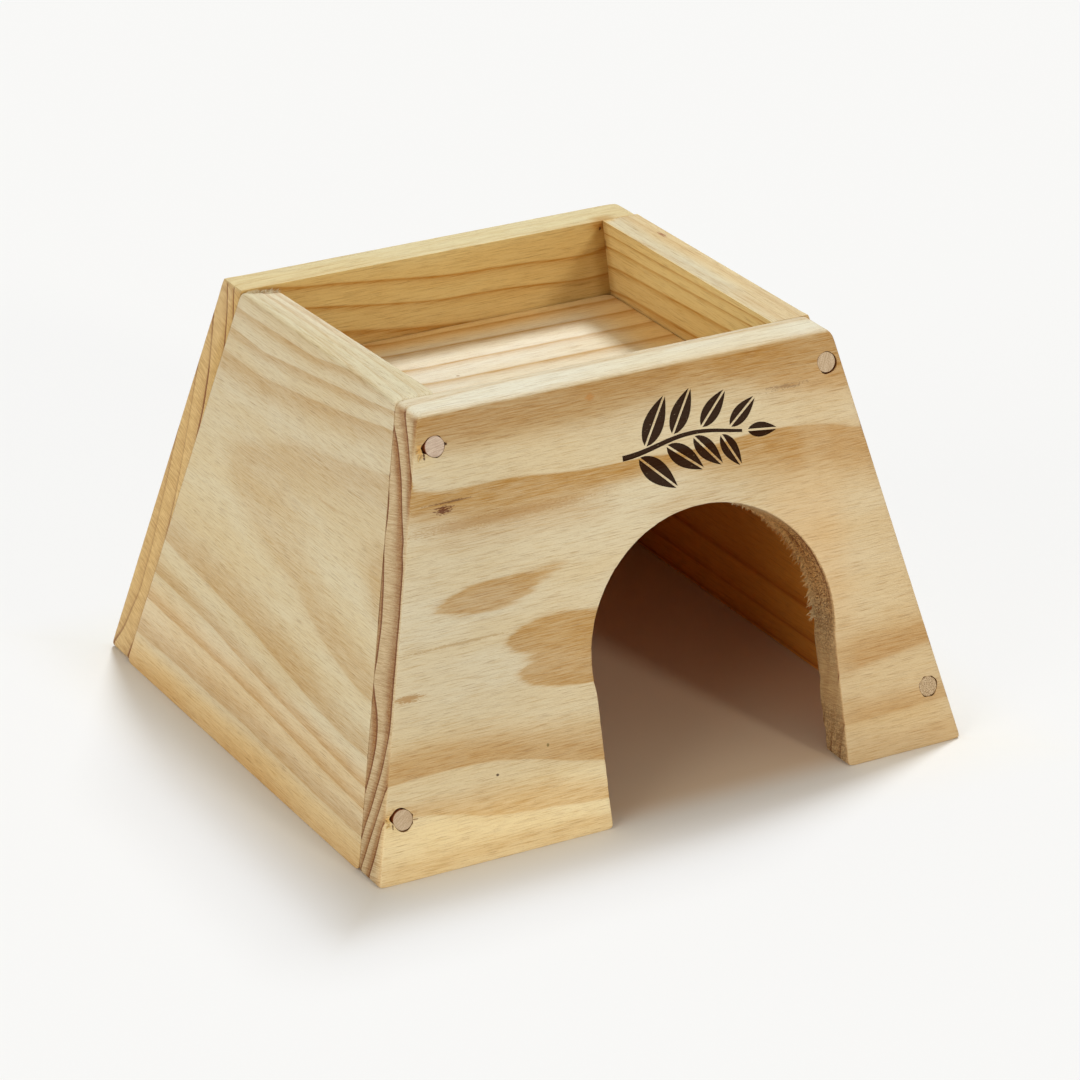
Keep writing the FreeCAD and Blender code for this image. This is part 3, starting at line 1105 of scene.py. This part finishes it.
class Recipe:
    """Short calls for building a material's nodes."""

    def __init__(self, name):
        self.material = bpy.data.materials.new(name)
        self.material.use_nodes = True
        self.tree = self.material.node_tree
        self.shader = self.tree.nodes["Principled BSDF"]

    def give(self, socket, value):
        """Set an input to a value, or link it where the value is another node's output."""
        if isinstance(value, bpy.types.NodeSocket):
            self.tree.links.new(value, socket)
        elif socket.type == "RGBA":
            socket.default_value = (*value, 1)
        else:
            socket.default_value = value

    def surface(self, **inputs):
        """Give the shader's inputs, whose names have _ for a space."""
        for name, value in inputs.items():
            self.give(self.shader.inputs[name.replace("_", " ")], value)

    def node(self, kind, inputs, **settings):
        made = self.tree.nodes.new(kind)
        for name, value in settings.items():
            setattr(made, name, value)
        for name, value in inputs.items():
            self.give(made.inputs[name], value)
        return made

    def attribute(self, name, output="Fac"):
        return self.node("ShaderNodeAttribute", {}, attribute_name=name).outputs[output]

    def math(self, operation, first, second=0.0, third=0.0, clamp=False):
        inputs = {0: first, 1: second, 2: third}
        return self.node("ShaderNodeMath", inputs, operation=operation, use_clamp=clamp).outputs[0]

    def times(self, first, second, clamp=False):
        return self.math("MULTIPLY", first, second, clamp=clamp)

    def times_and_add(self, first, second, third):
        return self.math("MULTIPLY_ADD", first, second, third)

    def stretch(self, vector, sizes, shift=(0, 0, 0)):
        """The vector divided by a size along each axis."""
        inputs = {"Vector": vector, "Scale": [1 / size for size in sizes], "Location": shift}
        return self.node("ShaderNodeMapping", inputs).outputs[0]

    def noise(self, vector, sizes, detail, roughness=0.5, shift=0):
        place = self.stretch(vector, sizes, (shift, shift, shift))
        inputs = {"Vector": place, "Scale": 1.0, "Detail": detail, "Roughness": roughness}
        return self.node("ShaderNodeTexNoise", inputs).outputs["Fac"]

    def range(self, value, low, high, to_low=0.0, to_high=1.0):
        inputs = {"Value": value, "From Min": low, "From Max": high, "To Min": to_low, "To Max": to_high}
        return self.node("ShaderNodeMapRange", inputs, interpolation_type="SMOOTHSTEP").outputs[0]

    def ramp(self, value, stops):
        """A grey between levels at positions from 0 to 1."""
        made = self.node("ShaderNodeValToRGB", {"Fac": value})
        elements = made.color_ramp.elements
        while len(elements) < len(stops):
            elements.new(0.5)
        for element, (position, level) in zip(elements, stops):
            element.position = position
            element.color = (level, level, level, 1)
        return made.outputs["Color"]

    def blend(self, share, first, second, kind="MIX"):
        inputs = {0: share, 6: first, 7: second}
        return self.node("ShaderNodeMix", inputs, data_type="RGBA", blend_type=kind).outputs[2]

    def bump(self, height, strength, distance):
        inputs = {"Height": height, "Strength": strength, "Distance": distance}
        return self.node("ShaderNodeBump", inputs).outputs[0]


def colour(red, green, blue):
    """Linear colour from values of 0 to 255 as a picture shows them."""
    def linear(value):
        value /= 255
        return value / 12.92 if value <= 0.04045 else ((value + 0.055) / 1.055) ** 2.4
    return (linear(red), linear(green), linear(blue))


pale_wood = colour(221, 209, 180)
warm_wood = colour(218, 201, 165)
late_wood = colour(184, 140, 72)
end_early = colour(219, 197, 158)
end_late = colour(168, 119, 68)
end_line = colour(122, 67, 28)
# Painted shade: the chamber's faces under the tray floor are multiplied by this darker, deep orange
indoors_painted_shade = (1.12, 0.54, 0.115)
burnt_wood = colour(36, 8, 0)


# Marks on each board, some of them painted shadows: place, half sizes, strength, raggedness and colour
marks_and_painted_shadows = {
    "front_panel": [
        ((-61.3, 99.9, 0), (2.9, 1.3, 1), 0.92, 1.5, (96, 40, 12)),
        ((-59.0, 101.8, 0), (5.5, 0.4, 1), 0.75, 1.7, (104, 62, 28)),
        ((-55.0, 23.5, 0), (0.6, 0.45, 1), 0.9, 0.4, (70, 48, 34)),
        ((-38.5, 28.3, 0), (0.55, 0.6, 1), 0.8, 0.4, (122, 110, 62)),
        ((-79.0, 50.5, 0), (5.5, 1.2, 1), 0.75, 1.2, (172, 128, 68)),
        ((-13.0, 122.0, 0), (1.5, 1.2, 1), 0.6, 1.2, (196, 138, 66)),
        ((49.0, 113.3, 0), (6.0, 0.8, 1), 0.5, 2.0, (120, 86, 52)),
        ((-65.9, 117.3, 0), (1.5, 1.6, 1), 0.62, 1.2, (234, 192, 118)),
        # Painted shadows under the chips beside the upper left peg
        ((-65.2, 115.9, 0), (0.35, 1.6, 1), 0.9, 1.0, (84, 46, 18)),
        ((-58.2, 117.8, 0), (0.4, 0.5, 1), 0.9, 0.6, (84, 46, 18)),
        ((-89.3, 18.6, 0), (1.3, 1.0, 1), 0.62, 1.6, (238, 202, 132)),
        # Painted shadows under the chips beside the lower left peg
        ((-88.4, 16.4, 0), (0.3, 1.2, 1), 0.85, 1.0, (92, 52, 20)),
        ((-81.4, 17.0, 0), (0.9, 0.25, 1), 0.8, 1.2, (110, 66, 28)),
        ((-46.0, 94.8, 0), (32.0, 1.8, 1), 0.5, 1.6, (172, 128, 70)),
        ((-62.0, 62.5, 0), (17.0, 0.5, 1), 0.5, 1.5, (170, 132, 76)),
        ((57.0, 15.0, 8.5), (2, 11.0, 0.45), 0.8, 0.6, (92, 62, 38)),
    ],
    "left_side_panel": [
        ((24.0, 87.5, 0), (7.0, 0.4, 1), 0.35, 1.4, (186, 146, 96)),
    ],
    "right_side_panel": [
        ((29.3, 127.8, 3.0), (3.0, 1.5, 0.7), 0.8, 1.0, (150, 96, 60)),
    ],
    "back_panel": [
        # Painted shadow at the top of the tray's back right corner
        ((-53.2, 126.8, 12), (0.5, 0.7, 0.8), 0.9, 0.8, (96, 60, 34)),
    ],
    "roof_panel": [
        ((-12.0, 18.0, 0), (0.7, 0.6, 1), 0.7, 0.5, (150, 110, 70)),
    ],
}


def add_spots(wood, grain, rough, base):
    """Knots, specks, smudges and painted shadows, each a ragged oval."""
    for node, spots in marks_and_painted_shadows.items():
        for (u, v, depth), half_sizes, strength, ragged, tint in spots:
            place = (u + board_spacing * board_numbers[node], v, depth)
            shift = wood.node("ShaderNodeVectorMath", {0: grain, 1: place}, operation="SUBTRACT").outputs[0]
            away = wood.node("ShaderNodeVectorMath", {0: wood.stretch(shift, half_sizes)}, operation="LENGTH")
            away = wood.times_and_add(rough, 2 * ragged, away.outputs["Value"])
            base = wood.blend(wood.range(away, 1.0, 0.5, 0.0, strength), base, colour(*tint))
    return base


# How much of the wood is late wood through a year, for plain, thin and soft rings, and for saw-cut ends
plain_year = [
    (0.0, 0.8), (0.01, 0.4), (0.03, 0.0), (0.32, 0.0), (0.5, 0.28), (0.65, 0.7), (0.8, 0.9), (1.0, 0.97),
]
thin_year = [
    (0.0, 0.8), (0.03, 0.3), (0.07, 0.0), (0.45, 0.0), (0.72, 0.18), (0.88, 0.5), (0.96, 1.0), (1.0, 1.0),
]
soft_year = [
    (0.0, 0.75), (0.05, 0.45), (0.11, 0.12), (0.17, 0.0), (0.45, 0.1), (0.7, 0.7), (0.86, 0.95), (1.0, 0.85),
]
line_year = [(0.0, 0.7), (0.03, 0.0), (0.86, 0.0), (0.95, 0.75), (0.985, 1.0), (1.0, 1.0)]


def pine_material():
    """Bare sanded pine. Its colour follows the growth rings, with streaks and hairlines along u."""
    wood = Recipe("pine")
    grain, tint, style = [wood.attribute(name, "Vector") for name in ("grain", "tint", "ring_style")]
    growth, end_grain, burn, indoors, ragged, torn = [
        wood.attribute(name) for name in ("growth", "end_grain", "burn", "indoors", "ragged", "torn")
    ]
    strength, thin, soft = wood.node("ShaderNodeSeparateXYZ", {0: style}).outputs
    broad = wood.noise(grain, (70, 16, 16), 2)
    streak = wood.noise(grain, (24, 1.3, 1.3), 2, 0.6)
    fibre = wood.noise(grain, (9, 0.4, 0.4), 3, 0.65)
    hair = wood.noise(grain, (7, 0.17, 0.17), 1, shift=3)
    speck = wood.noise(grain, (0.9, 0.3, 0.3), 1, shift=5)
    # The year at this point, its edge made ragged along the fibres
    unrest = wood.math("ADD", wood.times_and_add(fibre, 0.9, streak), -0.95)
    unrest = wood.times(unrest, wood.range(end_grain, 0.2, 0.6, 1.0, 0.3))
    year = wood.math("FRACT", wood.times_and_add(unrest, ragged, growth))
    late = wood.blend(thin, wood.ramp(year, plain_year), wood.ramp(year, thin_year))
    late = wood.blend(soft, late, wood.ramp(year, soft_year))
    late = wood.times(late, wood.range(broad, 0.3, 0.7, 0.85, 1.1))
    late = wood.times(late, wood.range(streak, 0.25, 0.5, 0.84, 1.0))
    late = wood.times(late, wood.range(fibre, 0.35, 0.65, 0.84, 1.12))
    late = wood.times(late, strength, clamp=True)
    # Faces along the grain
    pale = wood.blend(wood.range(broad, 0.35, 0.65), pale_wood, warm_wood)
    base = wood.blend(late, pale, late_wood)
    base = wood.blend(wood.range(streak, 0.55, 0.8, 0.0, 0.16), base, late_wood)
    base = wood.blend(wood.range(fibre, 0.48, 0.72, 0.0, 0.5), base, colour(222, 200, 162), "MULTIPLY")
    dark_hair = wood.times(wood.range(hair, 0.56, 0.74), wood.range(streak, 0.3, 0.6, 0.2, 0.55))
    base = wood.blend(dark_hair, base, colour(140, 100, 58))
    base = wood.blend(wood.range(hair, 0.42, 0.28, 0.0, 0.25), base, colour(238, 226, 196))
    base = wood.blend(wood.range(speck, 0.55, 0.75, 0.0, 0.16), base, colour(190, 160, 116), "MULTIPLY")
    rough = wood.math("ADD", wood.times_and_add(speck, 0.6, fibre), -0.8)
    base = add_spots(wood, grain, rough, base)
    # End grain, with the lines that the saw left across it
    saw = wood.noise(grain, (3, 0.3, 5), 2, 0.6)
    pore = wood.noise(grain, (9, 0.22, 0.22), 2, 0.6)
    pits = wood.times(wood.range(wood.noise(grain, (0.7, 0.6, 0.6), 2, 0.65, 7), 0.46, 0.57), torn)
    end = wood.blend(late, end_early, end_late)
    end = wood.blend(wood.times(wood.ramp(year, line_year), wood.range(strength, 0.2, 0.4)), end, end_line)
    end = wood.blend(wood.range(saw, 0.35, 0.7, 0.0, 0.6), end, colour(196, 166, 132), "MULTIPLY")
    end = wood.blend(wood.range(pore, 0.5, 0.75, 0.0, 0.4), end, colour(170, 136, 104), "MULTIPLY")
    end = wood.blend(wood.times(pits, 0.88), end, colour(94, 56, 26))
    # The two together, tinted by place, which brings the painted shade and painted light that the tints hold,
    # then painted shade on the chamber's faces
    base = wood.blend(wood.range(end_grain, 0.4, 0.85), base, end)
    base = wood.blend(1.0, base, tint, "MULTIPLY")
    base = wood.blend(indoors, base, wood.blend(1.0, base, indoors_painted_shade, "MULTIPLY"))
    base = wood.blend(wood.times(burn, wood.range(speck, 0.7, 0.8, 0.97, 0.6)), base, burnt_wood)
    height = wood.times_and_add(late, 0.3, wood.times_and_add(hair, -1.2, fibre))
    height = wood.times_and_add(wood.times(end_grain, saw), 1.6, height)
    height = wood.times_and_add(wood.times(end_grain, pits), -2.5, height)
    wood.surface(
        Base_Color=base, Roughness=wood.range(fibre, 0.3, 0.7, 0.5, 0.68),
        Specular_IOR_Level=wood.range(burn, 0, 1, 0.25, 0.05), Normal=wood.bump(height, 0.8, 0.00012),
    )
    return wood.material


def dowel_material():
    """Hardwood dowel: greyish lines and dark pores on its ends, and painted shade of orange brown down its
    sides in the hole.
    """
    wood = Recipe("dowel")
    grain = wood.attribute("grain", "Vector")
    speckled = wood.attribute("speckled")
    lines = wood.noise(grain, (4, 0.4, 30), 3, 0.6)
    pores = wood.noise(grain, (0.28, 0.28, 4), 2)
    line_share = wood.range(lines, 0.38, 0.62)
    grey = wood.blend(line_share, colour(210, 192, 176), colour(186, 163, 147))
    plain = wood.blend(line_share, colour(206, 184, 152), colour(194, 170, 136))
    dots = wood.times(wood.range(pores, 0.48, 0.60), wood.range(speckled, 0.6, 1, 0.15, 0.85))
    base = wood.blend(dots, wood.blend(speckled, grey, plain), colour(124, 88, 50))
    # Painted shade: the peg's sides below its end turn orange brown
    base = wood.blend(wood.times(wood.attribute("sunk"), 0.92), base, colour(168, 90, 38))
    wood.surface(
        Base_Color=base, Roughness=0.6, Specular_IOR_Level=0.3, Normal=wood.bump(pores, 0.3, 0.00008),
    )
    return wood.material


# The eight pegs, with the direction of the lines on their ends and how speckled these are

peg_grain = {"upper_left": 12, "lower_left": 40, "upper_right": 70, "lower_right": 100}
peg_speckle = {"upper_left": 0.05, "lower_left": 0.7, "upper_right": 0.75, "lower_right": 1.0}
peg_wobble = 0.012
# How far a peg's end lies under the wall's face
peg_sink = 0.08
# The outline of a peg from its seen end to its hidden one, as (share of its radius, depth)
peg_profile = [
    (0.25, peg_sink), (0.5, peg_sink), (0.72, peg_sink), (0.88, peg_sink), (0.955, peg_sink + 0.02),
    (0.985, peg_sink + 0.09), (0.995, peg_sink + 0.3), (0.995, 3.0), (0.995, peg_length - 0.4),
    (0.86, peg_length),
]


def peg_shell(centre, seed):
    ring = ring_at(turns(hole_points))
    uneven = np.clip(waves(at_depth(ring, 0), (0.5, 0.5, 1), seed) + 0.5, 0, 1)
    radius = peg_radius * (1 - peg_wobble * uneven)[:, None]
    shell = Shell()
    numbers = [shell.add(at_depth(centre + ring * share * radius, depth)) for share, depth in peg_profile]
    shell.strip(*numbers)
    for row, depth in ((numbers[0], peg_sink), (numbers[-1], peg_length)):
        shell.fan(row, shell.add([(*centre, depth)])[0])
    return shell


def make_pegs(material):
    for wall in ("front", "back"):
        for index, corner in enumerate(front_insets):
            node = "peg_" + wall + "_" + corner
            centre = peg_spot(wall, corner)
            piece = make_object(node + "_dowel", peg_shell(centre, index + 11), wall_frame(wall))
            spots, _ = own_coordinates(piece, wall_frame(wall))
            x, y = (spots[:, :2] - centre).T
            angle = math.radians(peg_grain[corner])
            across = x * math.cos(angle) + y * math.sin(angle)
            along = y * math.cos(angle) - x * math.sin(angle)
            store(piece, "grain", np.column_stack([across + 20 * index, along, spots[:, 2]]))
            store(piece, "speckled", np.full(len(spots), peg_speckle[corner]))
            # How far down the peg's side the painted shade has come in
            store(piece, "sunk", np.clip((spots[:, 2] - 0.12) / 0.2, 0, 1))
            settle(piece, node, material, 50)


# Floor, light and camera

paper_colour = colour(234, 232, 228)
paper_shade_under_house = colour(218, 198, 174)
backdrop_colour = colour(248, 248, 248)
shadow_lightening = 0.72
floor_half = 8.0


def make_floor():
    """Pale paper, painted a darker warm brown shade under the house. As in a catalogue picture, its shadow is
    lightened away from the house.
    """
    mesh = bpy.data.meshes.new("studio_floor")
    corners = [(-floor_half, -floor_half, 0), (floor_half, -floor_half, 0), (floor_half, floor_half, 0),
               (-floor_half, floor_half, 0)]
    mesh.from_pydata(corners, [], [(0, 1, 2, 3)])
    paper = Recipe("studio_paper")
    place = paper.node("ShaderNodeTexCoord", {}).outputs["Object"]
    x, y, _ = paper.node("ShaderNodeSeparateXYZ", {0: place}).outputs
    beside = paper.math("SUBTRACT", paper.math("ABSOLUTE", x), base_width / 2 * millimetre)
    before = paper.math("SUBTRACT", paper.math("ABSOLUTE", y), base_depth / 2 * millimetre)
    away = paper.math("MAXIMUM", beside, before)
    # Painted shade: the paper under the house is drawn to a darker warm brown
    under = paper.range(away, -0.012, 0.004, 1.0, 0.0)
    tint = paper.blend(under, paper_colour, paper_shade_under_house)
    paper.surface(Base_Color=tint, Roughness=0.9, Specular_IOR_Level=0.1)
    seen = paper.node("ShaderNodeLightPath", {}).outputs["Is Camera Ray"]
    share = paper.times(paper.range(away, -0.002, 0.034, 0.0, shadow_lightening), seen)
    glow = paper.node("ShaderNodeEmission", {"Color": backdrop_colour, "Strength": 1.0})
    mixed = paper.node("ShaderNodeMixShader", {0: share, 1: paper.shader.outputs[0], 2: glow.outputs[0]})
    paper.give(paper.tree.nodes["Material Output"].inputs["Surface"], mixed.outputs[0])
    mesh.materials.append(paper.material)
    add_to_scene("studio_floor", mesh)


# Each lamp: where its light comes from, how wide it looks in degrees, its strength and its colour
lamps = {
    "key": ((0.43, 0.39, 0.81), 13, 2.45, (0.84, 0.92, 1.0)),
    "front_fill": ((0.20, -0.93, 0.33), 8, 0.80, (0.97, 0.90, 0.77)),
    "left_fill": ((-0.90, -0.30, 0.33), 40, 1.0, (0.98, 0.96, 0.88)),
}
ambient_colour = (1.0, 0.92, 0.80)
ambient_strength = 0.45


def make_light():
    world = bpy.data.worlds.new("studio")
    bpy.context.scene.world = world
    world.use_nodes = True
    background = world.node_tree.nodes["Background"]
    background.inputs["Color"].default_value = ambient_colour + (1,)
    background.inputs["Strength"].default_value = ambient_strength
    for name, (direction, width, strength, tint) in lamps.items():
        data = bpy.data.lights.new(name, "SUN")
        data.energy = strength
        data.angle = math.radians(width)
        data.color = tint
        lamp = add_to_scene(name, data)
        lamp.rotation_mode = "QUATERNION"
        lamp.rotation_quaternion = Vector(direction).to_track_quat("Z", "Y")


# The photo's camera, fitted to the corners of the house: its place in metres and its turns in degrees
camera_place = (-0.589797, -1.091618, 0.598622)
camera_yaw, camera_pitch, camera_roll = 28.5845, 23.8917, 0.4428
camera_lens = 154.264


def make_camera():
    data = bpy.data.cameras.new("camera")
    data.sensor_width = 36
    data.lens = camera_lens
    data.clip_start, data.clip_end = 0.05, 50
    yaw, pitch, roll = [math.radians(angle) for angle in (camera_yaw, camera_pitch, camera_roll)]
    ahead = Vector((math.sin(yaw) * math.cos(pitch), math.cos(yaw) * math.cos(pitch), -math.sin(pitch)))
    right = Vector((math.cos(yaw), -math.sin(yaw), 0))
    down = ahead.cross(right)
    across = math.cos(roll) * right + math.sin(roll) * down
    below = math.cos(roll) * down - math.sin(roll) * right
    turn = Matrix((across, -below, -ahead)).transposed().to_4x4()
    camera = add_to_scene("camera", data)
    camera.matrix_world = Matrix.Translation(camera_place) @ turn
    bpy.context.scene.camera = camera


def main():
    pine = pine_material()
    dowel = dowel_material()
    make_boards(pine)
    make_pegs(dowel)
    make_floor()
    make_light()
    make_camera()
    bpy.context.scene.view_settings.view_transform = "Standard"


main()
